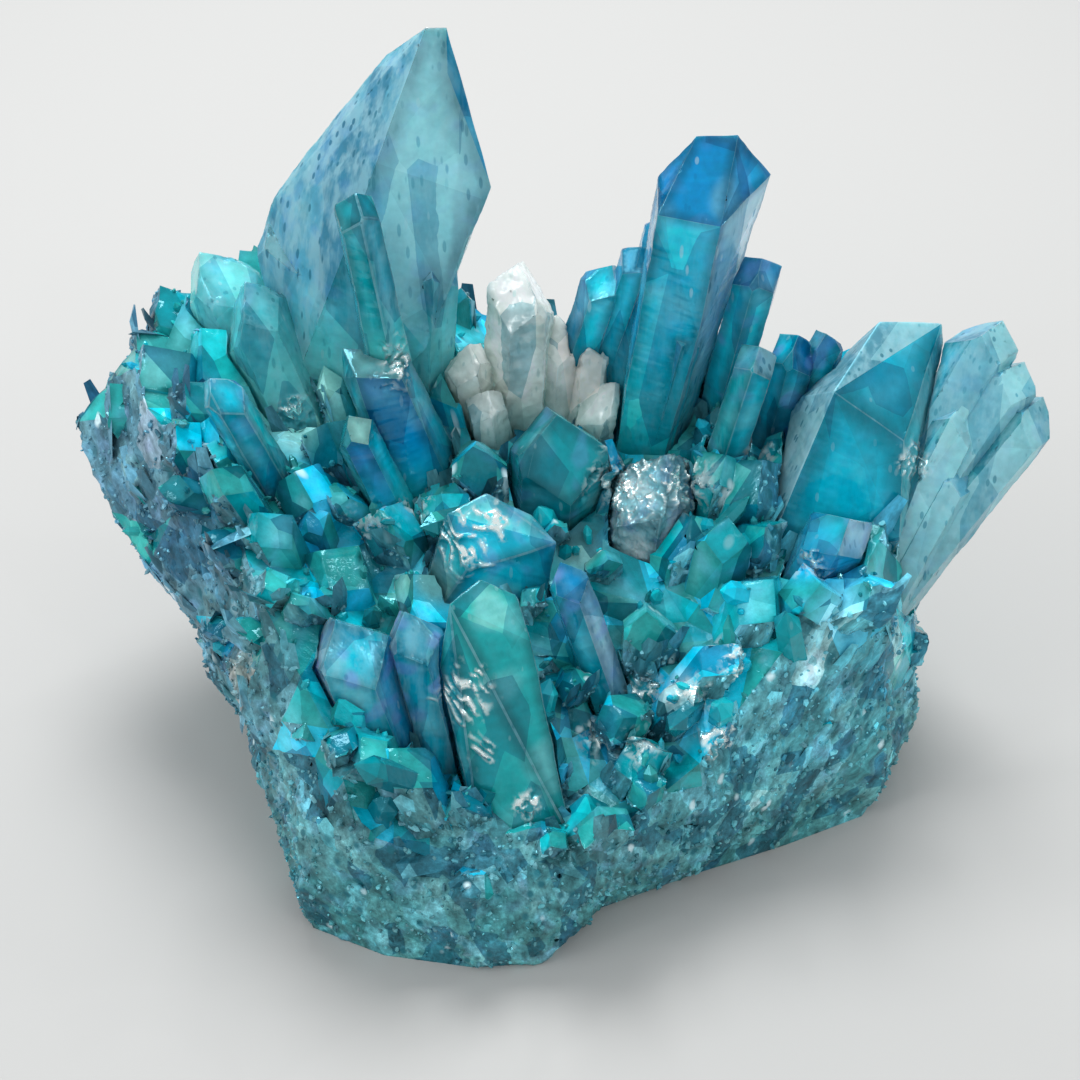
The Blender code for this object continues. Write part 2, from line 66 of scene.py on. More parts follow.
MM = 0.001
print("nodes", len(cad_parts), "box in mm", [[round(v / MM, 1) for v in c] for c in cad_box])

# %% [markdown]
# ## Camera, floor and light
#
# The cluster is seen from well above, standing on a plain pale floor. One large soft lamp hangs
# above and behind it, so the upper faces shine and a pale shadow falls to the front. A weak dome of
# white light fills in the rest, and a small lamp makes the tiny facets sparkle.

# %% Camera
VIEW_TARGET = Vector((-1.28, -1.29, 28.4)) * MM
VIEW_RISE = math.radians(42)
VIEW_DISTANCE = 224.4 * MM
VIEW_ANGLE = math.radians(28)

camera_data = bpy.data.cameras.new("camera")
camera_data.sensor_width = 36
camera_data.lens = camera_data.sensor_width / 2 / math.tan(VIEW_ANGLE / 2)
camera_data.clip_start = 0.005
camera = bpy.data.objects.new("camera", camera_data)
bpy.context.scene.collection.objects.link(camera)
camera.location = VIEW_TARGET + VIEW_DISTANCE * Vector((0, -math.cos(VIEW_RISE), math.sin(VIEW_RISE)))
camera.rotation_euler = (math.pi / 2 - VIEW_RISE, 0, 0)
bpy.context.scene.camera = camera

# %% Floor
bm = bmesh.new()
bmesh.ops.create_grid(bm, x_segments=1, y_segments=1, size=1.6)
floor_mesh = bpy.data.meshes.new("floor")
bm.to_mesh(floor_mesh)
bm.free()
floor = bpy.data.objects.new("floor", floor_mesh)
bpy.context.scene.collection.objects.link(floor)
plain = bpy.data.materials.new("pale_floor")
plain.use_nodes = True
plain.node_tree.nodes["Principled BSDF"].inputs["Base Color"].default_value = (0.46, 0.458, 0.45, 1)
plain.node_tree.nodes["Principled BSDF"].inputs["Roughness"].default_value = 0.9
floor_mesh.materials.append(plain)

# %% Light
scene = bpy.context.scene
scene.view_settings.view_transform = "Standard"
scene.cycles.max_bounces = 5
scene.cycles.transmission_bounces = 4
scene.cycles.glossy_bounces = 2
scene.cycles.diffuse_bounces = 2
scene.cycles.volume_bounces = 0
scene.cycles.blur_glossy = 1.0
scene.cycles.sample_clamp_indirect = 4.0

world = bpy.data.worlds.new("dome")
scene.world = world
world.use_nodes = True
sky = world.node_tree.nodes["Background"]
sky.inputs["Color"].default_value = (0.95, 0.98, 1.0, 1)
sky.inputs["Strength"].default_value = 0.77


def lamp(name, place, aim, size, power, colour=(1, 1, 1)):
    """A square soft lamp, placed and aimed in millimetres."""
    data = bpy.data.lights.new(name, "AREA")
    data.shape = "SQUARE"
    data.size = size * MM
    data.energy = power
    data.color = colour
    ob = bpy.data.objects.new(name, data)
    scene.collection.objects.link(ob)
    ob.location = Vector(place) * MM
    ob.rotation_euler = (Vector(aim) * MM - ob.location).to_track_quat("-Z", "Y").to_euler()
    return ob


lamp("overhead", (-30, 185, 420), (0, 0, 20), 200, 1.75)
lamp("left", (-330, -160, 350), (0, 0, 30), 200, 0.45)
for number, place in enumerate([(110, 190, 330), (-250, -150, 300), (200, -250, 350), (330, 40, 230)]):
    lamp(f"spark_{number}", place, (0, 0, 30), 18, 0.05)

# %% [markdown]
# ## Where a pattern runs
#
# Crystals grow outwards from the bed like a fan, and so do the scratches and steps on the rock's
# walls. A pattern that should run along the fan is read in a space where distances away from the
# fan's root are pressed together, so each mark comes out long and thin and points at the root.

# %% Node helpers
FAN_ROOT = Vector((0, -6, -28)) * MM
FAN_NEAR = 60 * MM
FAN_PRESS = 0.22


def add(tree, kind, links=(), **values):
    """Adds a node, sets its fields or inputs by name, and links what it is given."""
    node = tree.nodes.new(kind)
    for key, value in values.items():
        if hasattr(node, key):
            setattr(node, key, value)
        else:
            node.inputs[key.replace("_", " ")].default_value = value
    for source, target in links:
        tree.links.new(source, node.inputs[target])
    return node


def ramp(tree, source, stops, easing="LINEAR"):
    """A colour ramp through (position, grey or colour) stops."""
    node = add(tree, "ShaderNodeValToRGB", [(source, "Fac")])
    node.color_ramp.interpolation = easing
    bar = node.color_ramp.elements
    while len(bar) < len(stops):
        bar.new(0.5)
    for stop, (place, colour) in zip(bar, stops):
        stop.position = place
        stop.color = (*colour, 1) if isinstance(colour, tuple) else (colour, colour, colour, 1)
    return node.outputs["Color"]


def blend(tree, share, one, two, how="MIX"):
    """Mixes two colours. Each is a socket or a plain colour."""
    node = tree.nodes.new("ShaderNodeMix")
    node.data_type = "RGBA"
    node.blend_type = how
    for source, target in ((share, 0), (one, 6), (two, 7)):
        if isinstance(source, bpy.types.NodeSocket):
            tree.links.new(source, node.inputs[target])
        elif isinstance(source, tuple):
            node.inputs[target].default_value = (*source, 1)
        else:
            node.inputs[target].default_value = source
    return node.outputs[2]


def fan_space(tree, place):
    """The object's points, pressed together along the fan."""
    away = add(tree, "ShaderNodeVectorMath", [(place, 0)], operation="SUBTRACT")
    away.inputs[1].default_value = FAN_ROOT
    far = add(tree, "ShaderNodeVectorMath", [(away.outputs["Vector"], 0)], operation="LENGTH")
    aim = add(tree, "ShaderNodeVectorMath", [(away.outputs["Vector"], 0)], operation="NORMALIZE")
    pressed = add(tree, "ShaderNodeMath", [(far.outputs["Value"], 0)], operation="MULTIPLY_ADD")
    pressed.inputs[1].default_value = FAN_PRESS
    pressed.inputs[2].default_value = FAN_NEAR * (1 - FAN_PRESS)
    out = add(tree, "ShaderNodeVectorMath", [(aim.outputs["Vector"], 0), (pressed.outputs["Value"], "Scale")], operation="SCALE")
    return out.outputs["Vector"]


def fan_point(p):
    """The same for one point in millimetres."""
    away = p - FAN_ROOT / MM
    far = away.length
    return away * ((FAN_NEAR / MM * (1 - FAN_PRESS) + far * FAN_PRESS) / far)


# %% [markdown]
# ## The finishes
#
# Each facet of a coated crystal has its own tint, because the film is thicker on some faces and the
# light inside takes another way. The tint also follows the side a facet faces, so it holds painted
# sheen, painted reflections and painted shade. So the tint is painted on the mesh in code, corner by
# corner, and the fourth value of the paint says how frosted the surface is. The material reads both.
# It adds fine streaks, flat veils whose bright panels are painted inner reflections, long dark pits
# with painted shade on the frosted facets and a few bright specks, which are painted glints.

# %% Crystal finish
def crystal_finish(
    name, clear=0.35, absorb=(0.05, 0.7, 0.85), density=20.0, shine=(0.25, 0.8, 1.0), speck=0.35,
    polish=0.06, frosting=(0.5, 0.82, 0.9), seed=0.0, turned=(0, 0, 0), streaks=0.7, glow=0.35,
    reach=(0.3, 0.9, 1.0),
):
    mat = bpy.data.materials.new(name)
    mat.use_nodes = True
    tree = mat.node_tree
    shader = tree.nodes["Principled BSDF"]
    out = tree.nodes["Material Output"]
    paint = add(tree, "ShaderNodeAttribute", attribute_name="paint")
    tint = paint.outputs["Color"]
    frost = paint.outputs["Alpha"]
    broken = add(tree, "ShaderNodeAttribute", attribute_name="silver").outputs["Fac"]
    where = add(tree, "ShaderNodeTexCoord").outputs["Object"]
    along = add(tree, "ShaderNodeMapping", [(where, "Vector")])
    along.inputs["Rotation"].default_value = turned
    along.inputs["Scale"].default_value = (1, 1, 0.25)
    along = along.outputs["Vector"]
    fine = add(tree, "ShaderNodeTexNoise", [(where, "Vector")], Scale=1100.0, Detail=2.0).outputs["Fac"]
    streak = add(tree, "ShaderNodeTexNoise", [(along, "Vector")], Scale=640.0 + seed, Detail=3.0, Roughness=0.65)
    streak = streak.outputs["Fac"]
    # the stone's own grain
    grain = ramp(tree, fine, [(0.3, 0.9), (0.5, 1.0), (0.7, 1.1)])
    colour = blend(tree, 1.0, tint, grain, "MULTIPLY")
    # flat veils inside the stone, painted as dim and bright panels; the bright ones are painted inner reflections
    veils = add(tree, "ShaderNodeTexVoronoi", [(along, "Vector")], Scale=260.0 + seed)
    steps = [(0.15, (0.5, 0.66, 0.74)), (0.4, 0.94), (0.6, 1.08), (0.85, (1.8, 1.4, 1.25))]
    veil_and_reflection = ramp(tree, veils.outputs["Color"], steps, "CONSTANT")
    colour = blend(tree, 1.0, colour, veil_and_reflection, "MULTIPLY")
    # a frosted skin in streaks
    skin = ramp(tree, streak, [(0.42, 0.0), (0.6, streaks)])
    skin = blend(tree, 1.0, skin, frost, "MULTIPLY")
    colour = blend(tree, skin, colour, frosting)
    # long dark pits, with painted shade in them, and a few bright specks, which are painted glints
    cells = add(tree, "ShaderNodeTexVoronoi", [(along, "Vector")], Scale=1500.0)
    dot = ramp(tree, cells.outputs["Distance"], [(0.24, 1.0), (0.34, 0.0)])
    dark = ramp(tree, cells.outputs["Color"], [(0.6, 0.0), (0.7, 1.0)])
    much = ramp(tree, frost, [(0.0, speck * 0.3), (0.7, 0.9)])
    pit_shade = blend(tree, 1.0, dot, blend(tree, 1.0, dark, much, "MULTIPLY"), "MULTIPLY")
    shade = blend(tree, 1.0, tint, (0.18, 0.42, 0.5), "MULTIPLY")
    colour = blend(tree, pit_shade, colour, shade)
    bright = ramp(tree, cells.outputs["Color"], [(0.15, speck * 0.5), (0.2, 0.0)])
    glint = blend(tree, 1.0, dot, bright, "MULTIPLY")
    colour = blend(tree, glint, colour, (0.75, 0.95, 1.0))
    broken = blend(tree, 1.0, broken, ramp(tree, fine, [(0.4, 0.0), (0.52, 1.0)]), "MULTIPLY")
    colour = blend(tree, broken, colour, (0.9, 1.0, 0.98))
    tree.links.new(colour, shader.inputs["Base Color"])
    gloss = blend(tree, frost, (polish, polish, polish), (0.4, 0.4, 0.4))
    gloss = blend(tree, broken, gloss, (0.16, 0.16, 0.16))
    tree.links.new(gloss, shader.inputs["Roughness"])
    tree.links.new(blend(tree, 1.0, broken, (0.8, 0.8, 0.8), "MULTIPLY"), shader.inputs["Metallic"])
    shader.inputs["IOR"].default_value = 1.54
    shader.inputs["Specular IOR Level"].default_value = 1.0
    shader.inputs["Specular Tint"].default_value = (*shine, 1)
    shader.inputs["Transmission Weight"].default_value = clear
    shader.inputs["Subsurface Weight"].default_value = glow
    shader.inputs["Subsurface Radius"].default_value = reach
    shader.inputs["Subsurface Scale"].default_value = 0.004
    bump = add(tree, "ShaderNodeBump", [(streak, "Height")], Strength=0.3, Distance=0.00015)
    tree.links.new(bump.outputs["Normal"], shader.inputs["Normal"])
    if clear:
        soak = add(tree, "ShaderNodeVolumeAbsorption")
        soak.inputs["Color"].default_value = (*absorb, 1)
        soak.inputs["Density"].default_value = density
        tree.links.new(soak.outputs["Volume"], out.inputs["Volume"])
    return mat


# %% Rock finish
def rock_finish(name):
    """Glassy coated crystals on the bed, and frosted, pitted, streaky broken quartz on the walls."""
    mat = bpy.data.materials.new(name)
    mat.use_nodes = True
    tree = mat.node_tree
    shader = tree.nodes["Principled BSDF"]
    paint = add(tree, "ShaderNodeAttribute", attribute_name="paint")
    tint = paint.outputs["Color"]
    wall = paint.outputs["Alpha"]
    broken = add(tree, "ShaderNodeAttribute", attribute_name="silver").outputs["Fac"]
    spot = add(tree, "ShaderNodeTexCoord").outputs["Object"]
    fan = fan_space(tree, spot)
    fine = add(tree, "ShaderNodeTexNoise", [(spot, "Vector")], Scale=1000.0, Detail=3.0, Roughness=0.6).outputs["Fac"]
    streak = add(tree, "ShaderNodeTexNoise", [(fan, "Vector")], Scale=560.0, Detail=4.0, Roughness=0.72).outputs["Fac"]
    # flat facets that lie along the fan, each painted darker or brighter as if turned from or to the light: painted
    # shade and painted reflections
    facets = add(tree, "ShaderNodeTexVoronoi", [(fan, "Vector")], Scale=330.0)
    steps = [(0.1, (0.3, 0.5, 0.62)), (0.35, (0.7, 0.84, 0.86)), (0.55, 1.05), (0.72, (1.2, 1.2, 1.3)), (0.88, (2.6, 1.6, 1.5))]
    tint = blend(tree, 1.0, tint, ramp(tree, facets.outputs["Color"], steps, "CONSTANT"), "MULTIPLY")
    grain = ramp(tree, fine, [(0.3, 0.85), (0.5, 1.0), (0.7, 1.15)])
    bed = blend(tree, 1.0, tint, grain, "MULTIPLY")
    band = ramp(tree, streak, [(0.3, 0.28), (0.45, 0.75), (0.55, 1.15), (0.7, 2.1)])
    side = blend(tree, 1.0, tint, band, "MULTIPLY")
    # dark pits on the walls with painted shade in them, and a few bright specks, which are painted glints
    cells = add(tree, "ShaderNodeTexVoronoi", [(fan, "Vector")], Scale=620.0)
    dot = ramp(tree, cells.outputs["Distance"], [(0.18, 1.0), (0.36, 0.0)])
    dark = ramp(tree, cells.outputs["Color"], [(0.46, 0.0), (0.52, 0.85)])
    side = blend(tree, blend(tree, 1.0, dot, dark, "MULTIPLY"), side, (0.01, 0.13, 0.17))
    bright = ramp(tree, cells.outputs["Color"], [(0.16, 0.8), (0.2, 0.0)])
    glint = blend(tree, 1.0, dot, bright, "MULTIPLY")
    colour = blend(tree, wall, bed, side)
    colour = blend(tree, glint, colour, (0.75, 0.95, 1.0))
    broken = blend(tree, 1.0, broken, ramp(tree, fine, [(0.4, 0.0), (0.52, 1.0)]), "MULTIPLY")
    colour = blend(tree, broken, colour, (0.9, 1.0, 0.98))
    tree.links.new(colour, shader.inputs["Base Color"])
    gloss = blend(tree, wall, (0.1, 0.1, 0.1), (0.42, 0.42, 0.42))
    gloss = blend(tree, broken, gloss, (0.16, 0.16, 0.16))
    tree.links.new(gloss, shader.inputs["Roughness"])
    tree.links.new(blend(tree, 1.0, broken, (0.8, 0.8, 0.8), "MULTIPLY"), shader.inputs["Metallic"])
    shader.inputs["IOR"].default_value = 1.54
    shader.inputs["Specular Tint"].default_value = (0.4, 0.85, 1.0, 1)
    bump = add(tree, "ShaderNodeBump", [(streak, "Height")], Strength=0.5, Distance=0.0003)
    tree.links.new(bump.outputs["Normal"], shader.inputs["Normal"])
    return mat


# %% [markdown]
# ## Facets that are not quite flat
#
# A solid's faces are perfect planes, and glass shows that at once. A real face has growth lines
# across the crystal, shallow hillocks, small pits and worn edges. So each solid is copied, its edges
# get a small bevel, its faces are divided finely and the points are moved a few hundredths of a
# millimetre along the surface's normal. In some spots the quartz broke: curved ridges run there,
# and their crests shine like silver.

# %% Copy a solid
def solid_copy(name):
    """The solid of a node as a welded bmesh with flat many-cornered faces."""
    bm = bmesh.new()
    bm.from_mesh(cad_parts[name].data)
    bmesh.ops.remove_doubles(bm, verts=bm.verts, dist=1e-6)
    bmesh.ops.dissolve_limit(bm, angle_limit=math.radians(1.0), verts=bm.verts, edges=bm.edges)
    bm.normal_update()
    return bm


def sharp_edges(bm, least):
    return [e for e in bm.edges if len(e.link_faces) == 2 and e.calc_face_angle(0.0) > least]


def edge_tree(bm, least, step=0.4):
    """Points set along the sharp edges, in mm, in a tree that finds the nearest one."""
    spots = []
    for edge in sharp_edges(bm, least):
        one, two = (v.co / MM for v in edge.verts)
        parts = max(1, int((two - one).length / step))
        spots += [one.lerp(two, i / parts) for i in range(parts + 1)]
    tree = KDTree(len(spots))
    for number, spot in enumerate(spots):
        tree.insert(spot, number)
    tree.balance()
    return tree


def worn_edges(bm, width, least=math.radians(18)):
    """Bevels the edges that are sharper than the least angle, and gives back the new faces."""
    made = bmesh.ops.bevel(
        bm, geom=sharp_edges(bm, least), offset=width, offset_type="OFFSET", segments=1,
        affect="EDGES", profile=0.5, material=-1, clamp_overlap=True,
    )
    return made["faces"]


# %% Broken spots
STRIPED = 4
BROKEN = [
    (-9.2, -8.2, 34.0, 3.6), (-6.0, -6.1, 35.4, 2.6), (-8.6, -21.5, 26.0, 3.0), (-6.8, -24.0, 21.0, 1.6),
    (-18.4, -4.2, 33.7, 2.6), (-13.5, -1.4, 34.0, 2.0), (8.0, 0.5, 35.0, 4.6), (13.0, 0.5, 35.0, 4.0),
    (9.9, -14.6, 19.9, 2.4), (13.6, -19.5, 23.5, 2.8), (16.6, -21.6, 20.0, 2.4), (8.5, -23.4, 21.2, 2.2),
    (4.8, -18.6, 16.8, 2.4), (18.5, -17.1, 26.7, 2.4), (36.5, 1.0, 37.5, 2.4), (-27.0, 8.6, 38.0, 2.0),
    (-14.5, 4.0, 47.5, 3.0), (-2.5, -26.0, 15.5, 1.8), (21.0, 4.0, 36.0, 2.0), (26.0, -9.0, 32.0, 2.0),
]
broken_tree = KDTree(len(BROKEN))
for number, spot in enumerate(BROKEN):
    broken_tree.insert(spot[:3], number)
broken_tree.balance()


def broken_at(p):
    """How broken the stone is at a point in mm, from nought to one."""
    spot, number, far = broken_tree.find(p)
    reach = BROKEN[number][3]
    if far > 1.6 * reach:
        return 0.0
    return min(1.0, max(0.0, 2.2 * (1.0 - far / reach + 0.7 * noise.noise(p * 0.8))))


def ridge_at(p):
    """Curved ridges on the first few spots and crinkles on the others, one on the crests."""
    if broken_tree.find(p)[1] < STRIPED:
        way = (0.8 * p.z - 0.5 * p.y + 0.3 * p.x) * 1.5 + 1.5 * noise.noise(p * 0.4)
        return abs(2 * (way - math.floor(way)) - 1)
    return min(1.0, 1.25 * (1 - abs(2.4 * noise.noise(p * 0.8) + 0.8 * noise.noise(p * 2.1))))


# %% Divide and move
def divide(bm, longest, fine=0.3 * MM):
    """Splits edges until none is much longer than allowed, with finer parts on broken spots."""
    bmesh.ops.triangulate(bm, faces=bm.faces)
    for step in range(7):
        if step < 6:
            long_edges = [e for e in bm.edges if e.calc_length() > longest(e)]
        else:
            long_edges = [e for e in bm.edges if e.calc_length() > fine and broken_at(e.verts[0].co / MM) > 0]
        bmesh.ops.subdivide_edges(bm, edges=long_edges, cuts=1)
        bmesh.ops.triangulate(bm, faces=[f for f in bm.faces if len(f.verts) > 3])


def long_axis(co):
    """The direction in which the points spread the most, upwards."""
    axis = np.linalg.svd(co - co.mean(0), full_matrices=False)[2][0]
    return Vector(axis if axis[2] > 0 else -axis)


def growth(axis, lines=0.06, waves=0.15, pits=0.06, rough=0.0, seed=0.0):
    """Height in mm of growth lines, hillocks and pits on a crystal."""
    shift = Vector((seed * 3.7, seed * 1.3, seed * 5.1))

    def height(p, n, v):
        up = p.dot(axis)
        h = waves * noise.noise(p * 0.3 + shift)
        if abs(n.dot(axis)) < 0.5:
            side = p - axis * up
            h += lines * noise.noise(Vector((up * 2.3, side.x * 0.35, side.y * 0.35)) + shift)
        if pits:
            pressed = (p - axis * up * 0.7) * 0.55
            near = noise.voronoi(pressed + shift)[0][0]
            h -= pits * max(0.0, 1.0 - near / 0.26) ** 0.5
        if rough:
            h += rough * (noise.noise(p * 0.9 + shift) + 0.8 * abs(noise.noise(p * 2.2 - shift)) - 0.3)
        return h

    return height


# %% [markdown]
# ## Paint
#
# The paint starts from the facet's own tint. Near the edges it is deeper, because there the eye
# looks through more stone. Away from them it is brighter, with pale clouds and a touch of violet
# film. Towards the root it turns greener. The colours were chosen one by one.

# %% Palette
SLATE = (0.11, 0.43, 0.6)
PALE_AQUA = (0.42, 0.86, 0.94)
AQUA = (0.12, 0.76, 0.88)
CLEAR_BLUE = (0.01, 0.5, 0.85)
DEEP_BLUE = (0.0, 0.32, 0.68)
NAVY = (0.0, 0.2, 0.5)
CYAN = (0.01, 0.72, 0.92)
TEAL = (0.005, 0.62, 0.7)
DARK_TEAL = (0.0, 0.36, 0.42)
SEA = (0.0, 0.6, 0.82)
GREEN_TEAL = (0.01, 0.46, 0.46)
LILAC = (0.42, 0.7, 0.92)
FROST_TEAL = (0.24, 0.53, 0.6)
MILK = (0.85, 0.95, 0.88)
SILVER = (0.7, 0.85, 0.87)
TURQUOISE = (0.45, 0.95, 0.86)
FILM = (0.3, 0.4, 0.98)
PALE = (0.45, 0.92, 0.96)
KHAKI = (0.2, 0.38, 0.33)

# the side a facet faces picks its tint, so the tints by side carry painted sheen, reflection and shade
SIDES = {
    "left": Vector((-0.85, -0.45, 0.25)).normalized(),
    "front": Vector((0.1, -0.9, 0.4)).normalized(),
    "right": Vector((0.85, -0.4, 0.3)).normalized(),
    "top": Vector((0, -0.25, 0.97)).normalized(),
    "back": Vector((0, 0.95, 0.3)).normalized(),
}


def tint_facets(bm, sides, zones, rng, spread):
    """Gives each flat facet a tint and a share of frost, by its side or by its height. The tint by side holds painted
    sheen, reflection and shade.
    """
    tint = bm.faces.layers.float_color.new("tint")
    for face in bm.faces:
        # painted light: the side the facet faces picks its tint, with painted sheen, reflection or shade
        nearest = max(SIDES, key=lambda side: face.normal.dot(SIDES[side]))
        colour, frost = sides.get(nearest, sides["front"])
        high = face.calc_center_median().z / MM
        for low, top, other, share in zones:
            if low < high < top:
                colour, frost = other, share
        level = 1 + rng.uniform(-spread, spread)
        face[tint] = (*[c * level for c in colour], frost)


def paint_edge_highlight(bm, faces, share=0.4):
    """Painted highlight: the worn edges catch the light, so their tint is drawn towards a pale blue."""
    tint = bm.faces.layers.float_color["tint"]
    for face in faces:
        face[tint] = tuple(c + (p - c) * share for c, p in zip(face[tint], (0.5, 0.9, 1.0, 0.6)))


def smooth(x, low, high):
    x = np.clip((x - low) / (high - low), 0, 1)
    return x * x * (3 - 2 * x)


SPOT_TINTS = [
    ((-26.5, 8.5, 39.0), 7.0, (0.5, 1.0, 0.9)), ((3.0, -3.0, 29.0), 3.5, KHAKI), ((9.0, -11.0, 24.0), 3.5, KHAKI),
    ((-12.0, -9.0, 30.0), 3.5, KHAKI), ((20.0, -4.0, 30.0), 3.5, DARK_TEAL), ((-20.0, 2.0, 34.0), 4.0, GREEN_TEAL),
    ((12.0, -18.0, 23.0), 3.0, SILVER), ((29.0, -12.0, 27.5), 6.0, (0.2, 0.75, 0.98)), ((27.0, -8.0, 32.0), 5.0, CLEAR_BLUE), ((-10.0, 12.0, 36.0), 4.0, KHAKI),
]


def lay_paint(mesh, points, rim_width=1.5, deepen=0.5, cloudy=0.35, cloud=PALE, film=0.2, low=None, mottle=0.15):
    """Turns the facets' tint into paint on every corner of a triangle mesh."""
    rim, mist, drift, silver = np.array(points).T
    count = len(mesh.polygons)
    tint = np.zeros(count * 4)
    mesh.attributes["tint"].data.foreach_get("color", tint)
    tint = np.repeat(tint.reshape(-1, 4), 3, axis=0)
    corner = np.zeros(count * 3, int)
    mesh.loops.foreach_get("vertex_index", corner)
    # painted shade: the colour is deeper near the edges, where the eye looks through more stone, and brighter away from
    # them
    inner = smooth(rim, 0, rim_width)[corner][:, None]
    colour = tint[:, :3] * (1 - deepen + deepen * 1.25 * inner)
    colour = np.where(tint[:, 3:] > 0.55, tint[:, :3], colour)
    colour = colour * (1 + mottle * np.clip(drift + 0.6 * mist, -0.8, 0.8))[corner][:, None]
    share = cloudy * smooth(mist, 0.02, 0.5)[corner][:, None] * (0.3 + 0.7 * inner)
    colour += (np.array(cloud) - colour) * share
    share = film * smooth(drift, 0.12, 0.45)[corner][:, None]
    colour += (np.array(FILM) - colour) * share
    co = np.zeros(len(mesh.vertices) * 3)
    mesh.vertices.foreach_get("co", co)
    co = co.reshape(-1, 3)[corner] / MM
    for centre, reach, spot_tint in SPOT_TINTS:
        near = 1 - smooth(np.linalg.norm(co - centre, axis=1), 0.4 * reach, reach)[:, None]
        colour += (np.array(spot_tint) - colour) * 0.8 * near * (tint[:, 3:] < 0.95)
    if low:
        high = co[:, 2:]
        colour += (np.array(low[2]) - colour) * (1 - smooth(high, low[0], low[1])) * 0.85
    paint = mesh.attributes.new("paint", "FLOAT_COLOR", "CORNER")
    paint.data.foreach_set("color", np.hstack([colour, tint[:, 3:]]).ravel())
    mesh.attributes.new("silver", "FLOAT", "POINT").data.foreach_set("value", silver)


def finish_points(bm, height, edges, seed):
    """Moves the points by the height and gives back what the paint needs to know at each."""
    bm.normal_update()
    shift = Vector((seed, 2 * seed, 3 * seed))
    known = []
    moves = []
    for v in bm.verts:
        p = v.co / MM
        h = height(p, v.normal, v)
        broken = broken_at(p)
        silver = 0.0
        if broken:
            crest = ridge_at(p)
            h += broken * (0.38 * crest - 0.18)
            silver = broken * min(1.0, max(0.0, (crest - 0.4) * 4))
        known.append((edges.find(p)[2], noise.noise(p * 0.22 + shift), noise.noise(p * 0.45 - shift), silver))
        moves.append(v.normal * h * MM)
    for v, move in zip(bm.verts, moves):
        v.co += move
    return known


def show(name, mesh, mat, sharp=32):
    """Makes the finished piece, which rides on the cluster."""
    ob = bpy.data.objects.new(name, mesh)
    scene.collection.objects.link(ob)
    mesh.materials.clear()
    mesh.materials.append(mat)
    if sharp is None:
        mesh.shade_flat()
    else:
        mesh.shade_smooth()
        mesh.set_sharp_from_angle(angle=math.radians(sharp))
    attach(ob, "root")
    print(name, len(mesh.polygons), "faces")
    return ob


# %% Dress a crystal
def dress(name, sides, zones=(), longest=0.45, edge=0.13, sharp=30, spread=0.16, marks={}, coat={}, **finish):
    """Copies a node's solid, tints it, wears its edges, divides it, marks its growth and paints it."""
    seed = float(len(name) * 7 % 13) + 0.37 * len(sides)
    bm = solid_copy(name)
    tint_facets(bm, sides, zones, random.Random(name), spread)
    edges = edge_tree(bm, math.radians(18))
    # the worn edges get a painted highlight
    paint_edge_highlight(bm, worn_edges(bm, edge * MM))
    bmesh.ops.remove_doubles(bm, verts=bm.verts, dist=2e-6)
    divide(bm, lambda edge: longest * MM)
    axis = long_axis(np.array([v.co for v in bm.verts]))
    points = finish_points(bm, growth(axis, seed=seed, **marks), edges, seed)
    mesh = bpy.data.meshes.new(name + "_stone")
    bm.to_mesh(mesh)
    bm.free()
    lay_paint(mesh, points, **coat)
    turned = Vector(axis).rotation_difference(Vector((0, 0, 1))).to_euler()
    mat = crystal_finish(name + "_finish", seed=seed, turned=turned, **finish)
    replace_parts(show(name + "_stone", mesh, mat, sharp), name)


# %% The large crystals
# each crystal's tints by side hold painted sheen, reflections and shade as well as the coating's colour
dress(
    "blade_crystal", longest=0.5, edge=0.18,
    sides={"left": (SLATE, 0.9), "front": (PALE_AQUA, 0.4), "right": (CLEAR_BLUE, 0.3), "top": (CLEAR_BLUE, 0.4), "back": (AQUA, 0.6)},
    zones=[(0, 49.5, AQUA, 0.3)], clear=0.4, speck=0.5, marks=dict(pits=0.14, lines=0.05),
    coat=dict(rim_width=2.5, cloudy=0.5, film=0.2, low=(42, 52, (0.2, 0.9, 0.92))),
)
dress(
    "front_prism", longest=0.4,
    sides={"left": (TEAL, 0.15), "front": (TEAL, 0.1), "right": (AQUA, 0.4), "top": (TEAL, 0.1), "back": (TEAL, 0.2)},
    zones=[(60, 99, DARK_TEAL, 0.0)], coat=dict(film=0.05, low=(44, 54, (0.15, 0.9, 0.86))),
)
dress(
    "tall_crystal", longest=0.42,
    sides={"left": (CLEAR_BLUE, 0.15), "front": (CYAN, 0.12), "right": (LILAC, 0.5), "top": (DEEP_BLUE, 0.0), "back": (CLEAR_BLUE, 0.2)},
    zones=[(62.5, 99, DEEP_BLUE, 0.0)], speck=0.8, marks=dict(pits=0.07), coat=dict(film=0.1, deepen=0.5, rim_width=1.3, low=(36, 50, TEAL)),
)
dress(
    "small_tower_back", longest=0.4,
    sides={"left": (CYAN, 0.1), "front": (CYAN, 0.1), "right": (DEEP_BLUE, 0.1), "top": (NAVY, 0.0), "back": (TEAL, 0.2)},
    zones=[(53.5, 99, DEEP_BLUE, 0.1)], coat=dict(film=0.3),
)
dress(
    "small_tower_front", longest=0.35,
    sides={"left": (TEAL, 0.2), "front": (CYAN, 0.1), "right": (SLATE, 0.5), "top": (AQUA, 0.3), "back": (TEAL, 0.2)},
    coat=dict(deepen=0.5),
)
dress(
    "twin_towers", longest=0.35,
    sides={"left": (SEA, 0.1), "front": (SEA, 0.1), "right": (DEEP_BLUE, 0.1), "top": (DEEP_BLUE, 0.0), "back": (TEAL, 0.2)},
    coat=dict(film=0.4, deepen=0.5),
)
